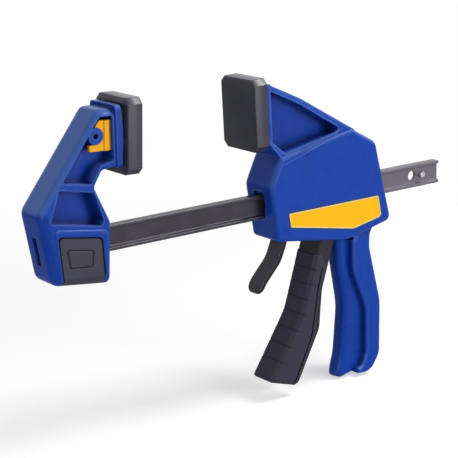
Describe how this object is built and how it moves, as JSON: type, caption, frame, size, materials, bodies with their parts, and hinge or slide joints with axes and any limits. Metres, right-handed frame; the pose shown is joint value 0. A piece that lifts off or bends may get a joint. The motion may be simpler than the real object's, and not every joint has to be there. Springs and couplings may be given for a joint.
{
  "type": "quick release bar clamp",
  "caption": "One-handed bar clamp: fixed jaw latched on an I-section bar, trigger-driven sliding jaw with release lever, soft pads.",
  "frame": {"origin": "centre of the movable jaw's pad face", "axes": "+X along the bar from the fixed jaw towards the bar's free end, +Z the way the jaws point, +Y across the clamp away from the push button's side"},
  "size_m": [0.3974, 0.0424, 0.2649],
  "materials": {
    "blue_moulding": "satin moulded blue",
    "yellow_panel": "smooth yellow",
    "yellow_moulding": "moulded yellow",
    "pad_rubber": "matt black rubber",
    "grip_rubber": "matt black rubber with grooves",
    "black_moulding": "moulded black",
    "bar_steel": "blackened steel, satin",
    "pin_steel": "plain steel",
    "spring_steel": "spring steel",
    "plate_steel": "hardened steel, oiled"
  },
  "bodies": {
    "movable_jaw": {"jaw_body": "blue_moulding", "badge_near": "yellow_panel", "badge_far": "yellow_panel", "moving_pad": "pad_rubber", "trigger_pin": "pin_steel", "drive_spring": "spring_steel", "brake_spring": "spring_steel"},
    "bar": {"bar": "bar_steel", "stop_pin": "pin_steel", "fixed_jaw": "blue_moulding", "latch_block": "black_moulding", "button_spring": "spring_steel"},
    "button": {"push_button": "black_moulding", "latch_pin": "pin_steel"},
    "pad_hinge": {"pad_carrier": "yellow_moulding", "swivel_pad": "pad_rubber"},
    "trigger": {"trigger_core": "black_moulding", "trigger_grip": "grip_rubber"},
    "drive_plates": {"drive_plate_1": "plate_steel", "drive_plate_2": "plate_steel"},
    "brake": {"brake_plate": "plate_steel", "release_lever": "black_moulding"}
  },
  "joints": [
    {"name": "bar_slide", "type": "slide", "parent": "movable_jaw", "child": "bar", "axis": [1, 0, 0], "range_m": [-0.049, 0.0988]},
    {"name": "trigger_squeeze", "type": "hinge", "parent": "movable_jaw", "child": "trigger", "pos_m": [0.084, 0, -0.0615], "axis": [0, -1, 0], "range_deg": [0, 20], "stiffness_Nm_per_rad": 1, "springref_deg": -17.19},
    {"name": "drive_plates_slide", "type": "slide", "parent": "movable_jaw", "child": "drive_plates", "axis": [1, 0, 0], "range_m": [0, 0.0067], "deforming": ["drive_spring"]},
    {"name": "brake_release", "type": "hinge", "parent": "movable_jaw", "child": "brake", "pos_m": [0.0405, 0, -0.056], "axis": [0, -1, 0], "range_deg": [0, 7], "stiffness_Nm_per_rad": 1, "springref_deg": -11.46, "deforming": ["brake_spring"]},
    {"name": "pad_swivel", "type": "hinge", "parent": "bar", "child": "pad_hinge", "pos_m": [-0.1377, 0, 0.0033], "axis": [0, 1, 0], "range_deg": [-4, 4]},
    {"name": "button_press", "type": "slide", "parent": "bar", "child": "button", "axis": [0, 1, 0], "range_m": [0, 0.0035], "stiffness_N_per_m": 800, "springref_m": -0.002, "deforming": ["button_spring"]}
  ],
  "couplings": [
    {"joint": "drive_plates_slide", "follows": "trigger_squeeze", "m_per_rad": 0.0187}
  ]
}
